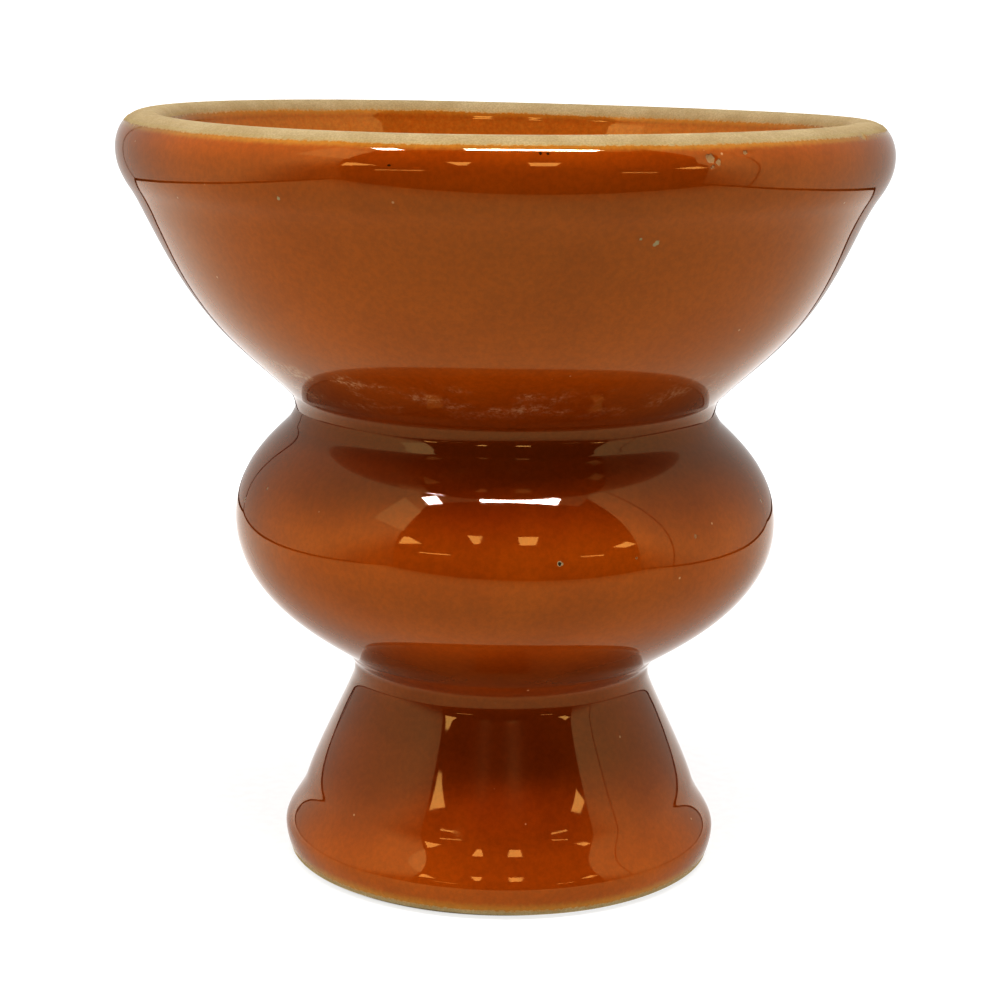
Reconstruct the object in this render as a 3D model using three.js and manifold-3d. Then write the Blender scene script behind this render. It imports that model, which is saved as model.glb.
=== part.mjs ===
// A glazed stoneware hookah bowl: a wide dish with a rolled rim, a hollow bulb and a flared foot.
// The dish, its perforated floor, the bulb and the foot are separate clay sections luted together with
// slip. Two coats of amber glaze cover them, one outside and one lining the dish. The rim's crest, the
// foot's edge and the smoke's way through the bulb are bare clay.
// Millimetres, +Z up, origin at the centre of the foot's bottom edge.

import * as THREE from "three";
import { mergeVertices } from "three/addons/utils/BufferGeometryUtils.js";
import Module from "manifold-3d";

// ---- driving dimensions ----
const HEIGHT = 79.4; // bottom edge to the rim's crest
const RIM_RADIUS = 40.0; // the rolled rim at its widest
const RIM_Z = 75.7;
const UPPER_WAIST = 22.2; // the crease between the dish and the bulb
const UPPER_WAIST_Z = 49.1;
const BELLY = 28.7; // the bulb at its widest
const BELLY_Z = 36.9;
const LOWER_WAIST = 15.9; // the crease between the bulb and the foot
const LOWER_WAIST_Z = 20.5;
const FOOT = 23.3; // the foot at its widest
const FOOT_Z = 3.0;
const BASE = 21.9; // the foot's bottom edge, outside
const SOCKET = 17.6; // the foot's bottom edge, inside

const GLAZE = 0.4; // thickness of a coat of glaze
const BARE_FOOT = 0.9; // height of the clay left bare above the bottom edge
const BARE_CREST = 0.8; // how far the bare clay reaches down from the crest, inside and out
const CREST_IN = 36.4; // the flat of the rim's crest
const CREST_OUT = 37.2;
const MOUTH = 34.7; // inside of the dish, under the rounding of its rim
const MOUTH_Z = 77.4;

const FLOOR_TOP = 55.6; // the perforated floor of the dish
const FLOOR_UNDER = 51.4;
const FLOOR_RADIUS = 21.0;
const FLOOR_PLAY = 0.1; // between the floor's edge and its seat
const AIR_HOLE = 2.5; // radius
const AIR_HOLE_RING = 9.5; // radius of the ring of air holes round the centre one
const AIR_HOLES_IN_RING = 4;
const GLAZE_DRAWN_BACK = 0.3; // the glaze stops this far from an air hole

const SLIP = 0.6; // thickness of the slip in a luted joint
const THROAT = 17.4; // inside of the joint under the dish
const CHAMBER = 24.2; // inside of the bulb at its widest
const NECK = 11.8; // inside of the joint over the foot

const SEGMENTS = 48; // round the axis
const HOLE_SEGMENTS = 16;
const QUARTER = Math.PI / 2; // a quarter turn: about X, it turns a lathe's +Y axis to +Z

// ---- materials ----
const stoneware = new THREE.MeshStandardMaterial({ color: 0xc9a878, roughness: 0.85, metalness: 0 });
const slipClay = new THREE.MeshStandardMaterial({ color: 0xb8946a, roughness: 0.9, metalness: 0 });
const amberGlaze = new THREE.MeshStandardMaterial({ color: 0x9a4a12, roughness: 0.08, metalness: 0 });

// ---- outlines: points with x for the radius and y for the height ----
const at = (radius, height) => new THREE.Vector2(radius, height);

// A cubic curve from one point to another, pulled towards the two between, in so many steps.
function bend(from, pullFrom, pullTo, to, steps) {
  return new THREE.CubicBezierCurve(from, pullFrom, pullTo, to).getPoints(steps);
}

// Part of an upright ellipse about a centre, between two angles counted from outwards to up.
function round(centre, wide, high, fromAngle, toAngle, steps) {
  const points = [];
  for (let i = 0; i <= steps; i++) {
    const angle = fromAngle + ((toAngle - fromAngle) * i) / steps;
    points.push(at(centre.x + wide * Math.cos(angle), centre.y + high * Math.sin(angle)));
  }
  return points;
}

// Stretches joined end to end. A point that ends one stretch and starts the next is kept once.
function join(...stretches) {
  const points = [];
  for (const point of stretches.flat()) {
    if (!points.length || points.at(-1).distanceTo(point) > 1e-6) points.push(point);
  }
  return points;
}

// An outline moved by the glaze's thickness to its left, as seen along its own direction.
// Its two ends keep their height, so that the joints there stay level.
function underGlaze(outline) {
  return outline.map((point, i) => {
    const before = outline[i - 1];
    const after = outline[i + 1];
    const along = (after ?? point).clone().sub(before ?? point).normalize();
    const rise = before && after ? along.x * GLAZE : 0;
    return at(point.x - along.y * GLAZE, point.y + rise);
  });
}

const reversed = (outline) => [...outline].reverse();

// Foot, from the glaze's lower edge up to the lower waist.
const glazeFoot = at(BASE + 0.85, BARE_FOOT);
const footWidest = at(FOOT, FOOT_Z);
const flank = at(21.1, 7.6);
const underWaist = at(LOWER_WAIST + 0.45, LOWER_WAIST_Z - 1.8);
const footOutside = join(
  bend(glazeFoot, at(FOOT - 0.2, 1.5), at(FOOT, 2.2), footWidest, 2),
  bend(footWidest, at(FOOT, 4.1), at(21.95, 5.7), flank, 2),
  bend(flank, at(20.3, 9.3), at(17.75, 15.5), underWaist, 3),
  [underWaist, at(LOWER_WAIST, LOWER_WAIST_Z - SLIP / 2)],
);

// Bulb, from the lower waist up to the upper one.
const bulbStart = at(LOWER_WAIST, LOWER_WAIST_Z + SLIP / 2);
const bulbUnder = at(16.83, 22.4);
const belly = at(BELLY, BELLY_Z);
const bulbShoulder = at(22.75, 47.95);
const bulbOutside = join(
  [bulbStart, bulbUnder],
  bend(bulbUnder, at(17.7, 23.7), at(BELLY, BELLY_Z - 8.7), belly, 6),
  bend(belly, at(BELLY, BELLY_Z + 6.2), at(23.6, 46.4), bulbShoulder, 5),
  [bulbShoulder, at(UPPER_WAIST, UPPER_WAIST_Z - SLIP / 2)],
);

// Dish, from the upper waist up to the glaze's upper edge on the rolled rim.
const dishStart = at(UPPER_WAIST, UPPER_WAIST_Z + SLIP / 2);
const dishUnder = at(22.75, 50.5);
const dishTurn = at(29.85, 57.2);
const rollUnder = at(38.8, 72.4);
const rollCentre = at(CREST_OUT, RIM_Z);
const rollWide = RIM_RADIUS - CREST_OUT;
const rollHigh = HEIGHT - RIM_Z;
const rollGlazed = Math.asin(1 - BARE_CREST / rollHigh);
const dishOutside = join(
  [dishStart, dishUnder],
  bend(dishUnder, at(24.5, 52.25), at(27.2, 54.5), dishTurn, 2),
  bend(dishTurn, at(35.0, 62.6), at(36.5, 68.8), rollUnder, 5),
  bend(rollUnder, at(39.4, 72.9), at(RIM_RADIUS, 74.2), at(RIM_RADIUS, RIM_Z), 2),
  round(rollCentre, rollWide, rollHigh, 0, rollGlazed, 3),
);

// The rim's bare crest, from the edge of the outer glaze over to the edge of the inner one.
const lipCentre = at(CREST_IN, MOUTH_Z);
const lipWide = CREST_IN - MOUTH;
const lipHigh = HEIGHT - MOUTH_Z;
const lipGlazed = Math.PI - Math.asin(1 - BARE_CREST / lipHigh);
const crest = join(
  round(rollCentre, rollWide, rollHigh, rollGlazed, QUARTER, 2),
  round(lipCentre, lipWide, lipHigh, QUARTER, lipGlazed, 2),
);

// The inside of the dish, from the glaze's edge down to the fillet, and the fillet into the floor.
const filletTop = at(24.6, 59.0);
const filletEnd = at(18.4, FLOOR_TOP + GLAZE);
const dishInside = join(
  round(lipCentre, lipWide, lipHigh, lipGlazed, Math.PI, 1),
  bend(at(MOUTH, MOUTH_Z), at(34.7, 70.9), at(30.4, 63.6), filletTop, 6),
);
const fillet = bend(filletTop, at(22.7, 57.5), at(20.6, FLOOR_TOP + GLAZE), filletEnd, 2);

// The smoke chamber inside the bulb, from the throat down to the neck.
const throat = at(THROAT, UPPER_WAIST_Z - SLIP / 2);
const chamberWidest = at(CHAMBER, BELLY_Z);
const neck = at(NECK, LOWER_WAIST_Z + SLIP / 2);
const chamber = join(
  bend(throat, at(19.4, 45.6), at(CHAMBER, 42.4), chamberWidest, 3),
  bend(chamberWidest, at(CHAMBER, 29.8), at(12.6, 26.4), neck, 5),
);

// ---- solids ----

// An outline that is closed, or that starts and ends on the axis, turned about the axis.
function turned(outline) {
  const onAxis = outline[0].x === 0;
  const points = onAxis ? outline : [...outline, outline[0]];
  return new THREE.LatheGeometry(points, SEGMENTS).rotateX(QUARTER);
}

const wasm = await Module();
wasm.setup();

// A three.js geometry as a manifold-3d solid.
function solidOf(geometry) {
  const bare = geometry.clone();
  bare.deleteAttribute("normal");
  bare.deleteAttribute("uv");
  const merged = mergeVertices(bare, 1e-4);
  const mesh = new wasm.Mesh({
    numProp: 3,
    vertProperties: merged.attributes.position.array,
    triVerts: new Uint32Array(merged.index.array),
  });
  return new wasm.Manifold(mesh);
}

// A manifold-3d solid as a three.js geometry.
function geometryOf(solid) {
  const mesh = solid.getMesh();
  const geometry = new THREE.BufferGeometry();
  geometry.setAttribute("position", new THREE.BufferAttribute(mesh.vertProperties, 3));
  geometry.setIndex(new THREE.BufferAttribute(mesh.triVerts, 1));
  geometry.computeVertexNormals();
  return geometry;
}

// The centres of the air holes: one on the axis and a ring of them round it.
function airHolePlaces() {
  const places = [at(0, 0)];
  for (let i = 0; i < AIR_HOLES_IN_RING; i++) {
    const turn = (i * 2 * Math.PI) / AIR_HOLES_IN_RING;
    places.push(at(AIR_HOLE_RING * Math.cos(turn), AIR_HOLE_RING * Math.sin(turn)));
  }
  return places;
}

// A geometry with the air holes cut through it, upright and with the given radius.
function pierced(geometry, radius) {
  const length = 4 * (FLOOR_TOP - FLOOR_UNDER);
  const pin = new THREE.CylinderGeometry(radius, radius, length, HOLE_SEGMENTS).rotateX(QUARTER);
  let solid = solidOf(geometry);
  for (const place of airHolePlaces()) {
    solid = solid.subtract(solidOf(pin.clone().translate(place.x, place.y, FLOOR_TOP)));
  }
  return geometryOf(solid);
}

// ---- the clay sections ----

function footBody() {
  return turned([
    at(SOCKET, 0),
    at(BASE, 0),
    at(BASE + 0.55, 0.3),
    glazeFoot,
    ...underGlaze(footOutside),
    at(NECK, LOWER_WAIST_Z - SLIP / 2),
    at(14.4, LOWER_WAIST_Z / 2),
  ]);
}

function bulbBody() {
  return turned([...underGlaze(bulbOutside), ...chamber]);
}

function dishWall() {
  return turned([
    ...underGlaze(dishOutside),
    ...crest,
    ...underGlaze(dishInside),
    at(FLOOR_RADIUS + FLOOR_PLAY, FLOOR_TOP),
    at(FLOOR_RADIUS + FLOOR_PLAY, FLOOR_UNDER),
    at(THROAT, FLOOR_UNDER),
    at(THROAT, UPPER_WAIST_Z + SLIP / 2),
  ]);
}

function dishFloor() {
  const disc = turned([
    at(0, FLOOR_UNDER),
    at(FLOOR_RADIUS, FLOOR_UNDER),
    at(FLOOR_RADIUS, FLOOR_TOP),
    at(0, FLOOR_TOP),
  ]);
  return pierced(disc, AIR_HOLE);
}

// A ring of slip, luting two sections together at a waist.
function slipRing(inner, waist, height) {
  const outer = waist - GLAZE;
  return turned([
    at(inner, height - SLIP / 2),
    at(outer, height - SLIP / 2),
    at(outer, height + SLIP / 2),
    at(inner, height + SLIP / 2),
  ]);
}

// ---- the coats of glaze ----

function outerGlaze() {
  const skin = join(footOutside, bulbOutside, dishOutside);
  const back = join(underGlaze(footOutside), underGlaze(bulbOutside), underGlaze(dishOutside));
  return turned([...skin, ...reversed(back)]);
}

// The lining of the dish. It pools in the corner round the floor.
function innerGlaze() {
  const lining = turned([
    at(0, FLOOR_TOP),
    at(FLOOR_RADIUS + FLOOR_PLAY, FLOOR_TOP),
    ...reversed(underGlaze(dishInside)),
    ...join(dishInside, fillet),
    at(0, FLOOR_TOP + GLAZE),
  ]);
  return pierced(lining, AIR_HOLE + GLAZE_DRAWN_BACK);
}

// ---- the assembly ----

const bowl = new THREE.Group();

function add(name, geometry, material) {
  const mesh = new THREE.Mesh(geometry, material);
  mesh.name = name;
  bowl.add(mesh);
}

add("foot_body", footBody(), stoneware);
add("lower_waist_slip", slipRing(NECK, LOWER_WAIST, LOWER_WAIST_Z), slipClay);
add("bulb_body", bulbBody(), stoneware);
add("upper_waist_slip", slipRing(THROAT, UPPER_WAIST, UPPER_WAIST_Z), slipClay);
add("dish_wall", dishWall(), stoneware);
add("dish_floor", dishFloor(), stoneware);
add("outer_glaze", outerGlaze(), amberGlaze);
add("inner_glaze", innerGlaze(), amberGlaze);

export default bowl;
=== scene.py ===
"""The looks of a glazed stoneware hookah bowl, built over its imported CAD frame.

Each clay section, ring of slip and coat of glaze is a fine turned solid that stands for the CAD node of the
same shape, slightly out of true as a fired bowl is. Outlines are in millimetres, as in the CAD source, and
become metres when a mesh is made. The origin is the centre of the foot's bottom edge and +Z is up.
"""

import math

import bmesh
import bpy
from mathutils import Euler, Matrix, Vector, noise

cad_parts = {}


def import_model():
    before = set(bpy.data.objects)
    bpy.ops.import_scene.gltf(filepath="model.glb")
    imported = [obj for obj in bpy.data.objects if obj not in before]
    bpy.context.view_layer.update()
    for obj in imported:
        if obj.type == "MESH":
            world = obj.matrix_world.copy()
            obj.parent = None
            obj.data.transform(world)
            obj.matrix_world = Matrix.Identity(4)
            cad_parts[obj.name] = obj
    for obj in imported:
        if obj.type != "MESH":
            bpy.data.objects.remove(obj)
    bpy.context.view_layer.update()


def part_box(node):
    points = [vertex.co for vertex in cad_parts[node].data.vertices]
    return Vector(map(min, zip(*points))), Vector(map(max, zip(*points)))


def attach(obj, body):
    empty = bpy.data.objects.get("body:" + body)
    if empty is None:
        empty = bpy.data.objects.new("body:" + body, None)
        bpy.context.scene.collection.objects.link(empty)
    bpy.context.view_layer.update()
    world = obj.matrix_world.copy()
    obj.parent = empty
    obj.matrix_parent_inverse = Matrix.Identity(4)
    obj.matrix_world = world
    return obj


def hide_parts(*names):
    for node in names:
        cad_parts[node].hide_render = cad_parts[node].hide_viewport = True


MM = 0.001

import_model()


def frame_box(node):
    """The lowest and highest corners of a CAD node, in millimetres."""
    low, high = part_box(node)
    return low / MM, high / MM


# ---- driving dimensions, in millimetres; those that the frame has are read from it ----
GLAZE = 0.4  # thickness of a coat of glaze
GLAZE_EDGE = 0.05  # and where it stops
HEIGHT = frame_box("dish_wall")[1].z
RIM_RADIUS = frame_box("outer_glaze")[1].x
RIM_Z = HEIGHT - 3.3
RIM_WANDER = 0.35  # the rim's widest part is this much higher at the front and back, and lower at the sides
CREST_OUT = RIM_RADIUS - 2.8  # the crest is flat from here
CREST_IN = CREST_OUT - 0.8  # to here
MOUTH = CREST_IN - 1.7  # inside of the dish, under the rounding of its rim
MOUTH_Z = HEIGHT - 2.0
ROLL_WIDE = RIM_RADIUS - CREST_OUT
LIP_WIDE = CREST_IN - MOUTH
LIP_HIGH = HEIGHT - MOUTH_Z

LOWER_WAIST = frame_box("lower_waist_slip")[1].x + GLAZE
LOWER_LUTE = (frame_box("lower_waist_slip")[0].z, frame_box("lower_waist_slip")[1].z)
UPPER_WAIST = frame_box("upper_waist_slip")[1].x + GLAZE
UPPER_LUTE = (frame_box("upper_waist_slip")[0].z, frame_box("upper_waist_slip")[1].z)
BELLY = frame_box("bulb_body")[1].x + GLAZE
BELLY_Z = 36.9
FOOT = frame_box("foot_body")[1].x + GLAZE
FOOT_Z = 3.0
BASE = 21.9  # the foot's bottom edge, outside
SOCKET = 17.6  # and inside

FLOOR_RADIUS = frame_box("dish_floor")[1].x
FLOOR_PLAY = 0.1  # between the floor's edge and its seat
FLOOR_UNDER = frame_box("dish_floor")[0].z
FLOOR_TOP = frame_box("dish_floor")[1].z
THROAT = 17.4  # inside of the joint under the dish
CHAMBER = 24.2  # inside of the bulb at its widest
NECK = 11.8  # inside of the joint over the foot
AIR_HOLE = 2.5  # radius
AIR_HOLE_RING = 9.5
AIR_HOLES_IN_RING = 4
AIR_HOLE_FLARE = 0.25  # the rounding of an air hole's edges
GLAZE_DRAWN_BACK = 0.3  # the glaze stops this far from an air hole
GLAZE_FLARE = 0.2  # and is rounded this much there
PIN_PAST = 3.0  # the pins that cut the holes reach this far past the clay

SEGMENTS = 360  # round the axis
HOLE_SEGMENTS = 40

BARE_FOOT = 0.5  # height of the clay left bare above the bottom edge
BARE_CREST = 0.6  # how far the bare clay reaches down from the crest, outside
BARE_LIP = 0.7  # and inside
FOOT_FADE = 1.8  # the height over which the glaze grows to its full thickness from the foot
CREST_FADE = 1.1  # and from the crest
SQUEEZED_OUT = 0.25  # the slip stands out this much inside a joint
RING_DEPTH = 0.10  # the throwing rings inside the bulb
RING_TURN = 2.6  # radians of their wave to a millimetre of height


# ---- outlines: points with the radius first and the height second ----
def at(radius, height):
    return Vector((radius, height))


def bend(start, pull_start, pull_end, end, steps):
    """A cubic curve from one point to another, pulled towards the two between."""
    points = []
    for i in range(steps + 1):
        done = i / steps
        left = 1 - done
        ends = left**3 * start + done**3 * end
        pulls = 3 * left * left * done * pull_start + 3 * left * done * done * pull_end
        points.append(ends + pulls)
    return points


def oval(centre, wide, high, from_angle, to_angle, steps):
    """Part of an upright ellipse, between two angles counted from outwards to up."""
    points = []
    for i in range(steps + 1):
        angle = from_angle + (to_angle - from_angle) * i / steps
        points.append(centre + at(wide * math.cos(angle), high * math.sin(angle)))
    return points


def join(*stretches):
    """Stretches joined end to end. A point that ends one and starts the next is kept once."""
    points = []
    for stretch in stretches:
        for point in stretch:
            if not points or (points[-1] - point).length > 1e-6:
                points.append(point)
    return points


def sunk(outline, depth_at):
    """An outline moved to its left by the depth that depth_at gives for each height."""
    moved = []
    last = len(outline) - 1
    for i, point in enumerate(outline):
        along = (outline[min(i + 1, last)] - outline[max(i - 1, 0)]).normalized()
        moved.append(point + at(-along.y, along.x) * depth_at(point.y))
    return moved


def smooth(value):
    """0 below 0, 1 above 1 and a smooth rise between."""
    inside = min(1.0, max(0.0, value))
    return inside * inside * (3 - 2 * inside)


def along_stations(stations, height):
    """A value that changes evenly with height between (height, value) stations."""
    for (low, first), (high, second) in zip(stations, stations[1:]):
        if height <= high:
            return first + (second - first) * max(0.0, height - low) / (high - low)
    return stations[-1][1]


# ---- how the fired bowl is out of true ----
# The lean towards +X at each height.
DRIFT = (
    (0, 0.44),
    (20.5, 0.42),
    (34.0, 0.60),
    (40.0, 0.53),
    (49.1, 0.42),
    (60.0, 0.22),
    (69.0, -0.05),
    (75.0, 0.0),
    (79.4, 0.0),
)
SAG_FROM = 60.0  # the height where the rim's unevenness starts
RIM_DROP = 0.204  # how far the rim is down on average
RIM_TILT = (-0.030, -0.059)  # how much higher it is at +X and at +Y
RIM_WARP = (0.124, -0.158)  # and how much it waves twice round, along the axes and between them


def drift(height):
    """How far the bowl leans towards +X at a height."""
    return along_stations(DRIFT, height)


def sag(height, angle):
    """How far the uneven rim is pulled up, or down if less than 0."""
    around = RIM_TILT[0] * math.cos(angle) + RIM_TILT[1] * math.sin(angle)
    twice_around = RIM_WARP[0] * math.cos(2 * angle) + RIM_WARP[1] * math.sin(2 * angle)
    return (around + twice_around - RIM_DROP) * smooth((height - SAG_FROM) / (HEIGHT - SAG_FROM))


def placed(point, angle):
    """Where a point of an outline is on the fired bowl, in metres."""
    x = point.x * math.cos(angle) + drift(point.y)
    y = point.x * math.sin(angle)
    return Vector((x, y, point.y + sag(point.y, angle))) * MM


def on_bowl(place):
    """The radius, angle and height, in millimetres, of a place in metres."""
    x, y, z = place / MM
    x -= drift(z)
    angle = math.atan2(y, x)
    return math.hypot(x, y), angle, z - sag(z, angle)


def waver(angle, waves, seed):
    """A wavering value from about -1 to 1 that closes on itself after a full turn."""
    place = Vector((math.cos(angle), math.sin(angle), 0)) * waves / (2 * math.pi)
    return 2 * noise.noise(place + Vector((0, 0, seed)), noise_basis="PERLIN_ORIGINAL")


# ---- the edges of the glaze, and how thick it is ----
def crest_edge(angle):
    """The height where the outer glaze stops below the crest."""
    swing = 0.12 * waver(angle, 5, 1.3) + 0.05 * waver(angle, 40, 4.1)
    return HEIGHT - BARE_CREST + swing


def lip_edge(angle):
    """The height where the inner glaze stops below the crest."""
    return HEIGHT - BARE_LIP + 0.16 * waver(angle, 6, 7.7) + 0.05 * waver(angle, 36, 2.9)


def foot_edge(angle):
    """The height where the outer glaze starts above the foot's bottom edge."""
    return BARE_FOOT + 0.12 * waver(angle, 7, 9.2)


def outer_film(height, angle):
    """How full the outer coat is at a height, from 0 at its edges to 1."""
    from_foot = (height - foot_edge(angle)) / FOOT_FADE
    from_crest = (crest_edge(angle) - height) / CREST_FADE
    return smooth(from_foot) * smooth(from_crest)


def inner_film(height, angle):
    """How full the inner coat is at a height, from 0 at the lip to 1."""
    return smooth((lip_edge(angle) - height) / CREST_FADE)


def thickness(film):
    """How thick a coat is where it is as full as film."""
    return GLAZE_EDGE + (GLAZE - GLAZE_EDGE) * film


# How much the outer glaze is darkened at each height, from 0 to 1: partly glaze that has run together at the
# waists, partly painted shade on the foot under the bulb and on the bulb's shoulder under the dish.
POOLS_AND_SHADE = (
    (0.0, 0.2),
    (3.5, 0.35),
    (6.0, 0.5),
    (9.0, 0.75),
    (12.0, 1.0),
    (20.5, 1.0),
    (24.0, 0.65),
    (31.0, 0.32),
    (39.0, 0.27),
    (42.5, 0.85),
    (45.0, 1.0),
    (49.1, 1.0),
    (52.0, 0.5),
    (56.0, 0.1),
    (71.0, 0.0),
    (76.0, 0.27),
    (79.4, 0.27),
)


# A wiped patch on the front of the foot isn't as glossy as the rest.
WIPED_LOW = 7.4
WIPED_HIGH = 19.2
WIPED_ASIDE = 13.5  # degrees to each side of the front
WIPED_FADES = (1.2, 0.8, 4.5)  # how gently it ends below, above and aside


def wiped(height, angle):
    """How matt the glaze is, from 0 to 1."""
    below, above, aside = WIPED_FADES
    from_front = abs(math.degrees(angle) + 90)
    level = smooth((height - WIPED_LOW) / below) * smooth((WIPED_HIGH - height) / above)
    return smooth((WIPED_ASIDE - from_front) / aside) * level


# ---- the stretches of the outline ----
def foot_skin(angle):
    """The outside of the foot, from the glaze's lower edge up to the lower waist."""
    start = at(BASE + 0.85 + 0.3 * (foot_edge(angle) - BARE_FOOT), foot_edge(angle))
    widest = at(FOOT, FOOT_Z)
    knee = at(21.02, 7.8)
    under_waist = at(LOWER_WAIST + 0.48, 18.4)
    waist = at(LOWER_WAIST, LOWER_LUTE[0])
    return join(
        bend(start, at(FOOT - 0.2, 1.5), at(FOOT, 2.2), widest, 12),
        bend(widest, at(FOOT, 4.3), at(21.7, 5.7), knee, 28),
        bend(knee, at(20.02, 10.9), at(17.5, 15.7), under_waist, 28),
        bend(under_waist, at(16.08, 19.1), at(LOWER_WAIST, 19.6), waist, 8),
    )


def bulb_skin():
    """The outside of the bulb, from the lower waist up to the upper one."""
    waist = at(LOWER_WAIST, LOWER_LUTE[1])
    under = at(16.83, 22.36)
    belly = at(BELLY, BELLY_Z)
    shoulder = at(22.75, 47.5)
    upper = at(UPPER_WAIST, UPPER_LUTE[0])
    return join(
        bend(waist, at(LOWER_WAIST, 21.4), at(16.45, 21.8), under, 8),
        bend(under, at(17.7, 23.7), at(BELLY, BELLY_Z - 8.7), belly, 40),
        bend(belly, at(BELLY, BELLY_Z + 6.2), at(23.45, 46.25), shoulder, 32),
        bend(shoulder, at(22.5, 47.95), at(UPPER_WAIST, 48.4), upper, 12),
    )


SOCKET_MIDDLE = at(14.4, 10.25)  # halfway up the socket's taper
LIP_CENTRE = at(CREST_IN, MOUTH_Z)
FILLET_TOP = at(24.6, 59.0)
FILLET_END = at(18.4, FLOOR_TOP + GLAZE)


def rim_z(angle):
    """The height where the rim is widest."""
    return RIM_Z - RIM_WANDER * math.cos(2 * angle)


def rim_oval(angle, from_turn, to_turn, steps):
    """Part of the rolled rim, from its widest part up to its crest."""
    centre = at(CREST_OUT, rim_z(angle))
    return oval(centre, ROLL_WIDE, HEIGHT - centre.y, from_turn, to_turn, steps)


def dish_skin(angle):
    """The outside of the dish, from the upper waist up to the glaze's edge on the rolled rim."""
    waist = at(UPPER_WAIST + 0.10, UPPER_LUTE[1])
    under = at(22.85, 50.5)
    turn = at(29.85, 57.2)
    roll = at(38.55, 71.7)
    widest = at(RIM_RADIUS, rim_z(angle))
    return join(
        bend(waist, at(UPPER_WAIST + 0.17, 49.75), at(22.57, 50.2), under, 12),
        bend(under, at(24.5, 52.25), at(27.25, 54.4), turn, 24),
        bend(turn, at(34.85, 62.7), at(36.6, 68.8), roll, 40),
        bend(roll, at(39.57, 73.2), at(RIM_RADIUS, widest.y - 1.4), widest, 18),
        rim_oval(angle, 0, roll_stop(angle), 16),
    )


def roll_stop(angle):
    """The turn of the rolled rim's ellipse where the outer glaze stops."""
    return math.asin((crest_edge(angle) - rim_z(angle)) / (HEIGHT - rim_z(angle)))


def lip_start(angle):
    """The turn of the lip's ellipse where the inner glaze starts."""
    return math.pi - math.asin((lip_edge(angle) - MOUTH_Z) / LIP_HIGH)


def crest(angle):
    """The bare top of the rim, from the outer glaze over to the inner one."""
    return join(
        rim_oval(angle, roll_stop(angle), math.pi / 2, 8),
        oval(LIP_CENTRE, LIP_WIDE, LIP_HIGH, math.pi / 2, lip_start(angle), 8),
    )


def lining_wall(angle):
    """The inside of the dish, from the glaze's edge down to the fillet."""
    mouth = at(MOUTH, MOUTH_Z)
    return join(
        oval(LIP_CENTRE, LIP_WIDE, LIP_HIGH, lip_start(angle), math.pi, 8),
        bend(mouth, at(MOUTH - 1.4, 72.4), at(30.4, 63.6), FILLET_TOP, 36),
    )


def lining_floor():
    """The fillet at the bottom of the dish, and the floor in to the axis."""
    floor = FLOOR_TOP + GLAZE
    fillet = bend(FILLET_TOP, at(22.7, 57.5), at(20.6, floor), FILLET_END, 16)
    flat = [at(FILLET_END.x * (1 - i / 8), floor) for i in range(9)]
    return join(fillet, flat)


def throwing_rings(outline):
    """An inside outline with the shallow rings that the potter's fingers leave."""
    return [point + at(RING_DEPTH * math.sin(point.y * RING_TURN), 0) for point in outline]


def chamber():
    """The smoke chamber inside the bulb, from the throat down to the neck."""
    throat = at(THROAT, UPPER_LUTE[0])
    widest = at(CHAMBER, BELLY_Z)
    neck = at(NECK, LOWER_LUTE[1])
    wall = join(
        bend(throat, at(19.4, 45.6), at(CHAMBER, 42.4), widest, 24),
        bend(widest, at(CHAMBER, 29.8), at(12.6, 26.4), neck, 32),
    )
    return wall[:1] + throwing_rings(wall[1:-1]) + wall[-1:]


# ---- meshes ----
def turned(name, outline_at, reaches_axis=False):
    """A closed solid made by turning the outline that outline_at gives for each angle."""
    shape = bmesh.new()
    rings = []
    for i in range(SEGMENTS):
        angle = 2 * math.pi * i / SEGMENTS
        rings.append([shape.verts.new(placed(point, angle)) for point in outline_at(angle)])
    count = len(rings[0])
    spans = count - 1 if reaches_axis else count
    for i, ring in enumerate(rings):
        after = rings[(i + 1) % SEGMENTS]
        for j in range(spans):
            k = (j + 1) % count
            shape.faces.new((ring[j], after[j], after[k], ring[k]))
    bmesh.ops.remove_doubles(shape, verts=shape.verts, dist=1e-7)
    bmesh.ops.recalc_face_normals(shape, faces=shape.faces)
    return as_object(name, shape)


def as_object(name, shape):
    """An object made of the shape, shaded smooth between its sharp edges. The shape is used up."""
    mesh = bpy.data.meshes.new(name)
    shape.to_mesh(mesh)
    shape.free()
    mesh.polygons.foreach_set("use_smooth", [True] * len(mesh.polygons))
    mesh.set_sharp_from_angle(angle=math.radians(40))
    made = bpy.data.objects.new(name, mesh)
    bpy.context.scene.collection.objects.link(made)
    return made


def air_hole_places():
    """The centres of the air holes: one on the axis and a ring of them round it."""
    places = [at(0, 0)]
    for i in range(AIR_HOLES_IN_RING):
        turn = 2 * math.pi * i / AIR_HOLES_IN_RING
        places.append(at(math.cos(turn), math.sin(turn)) * AIR_HOLE_RING)
    return places


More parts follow.
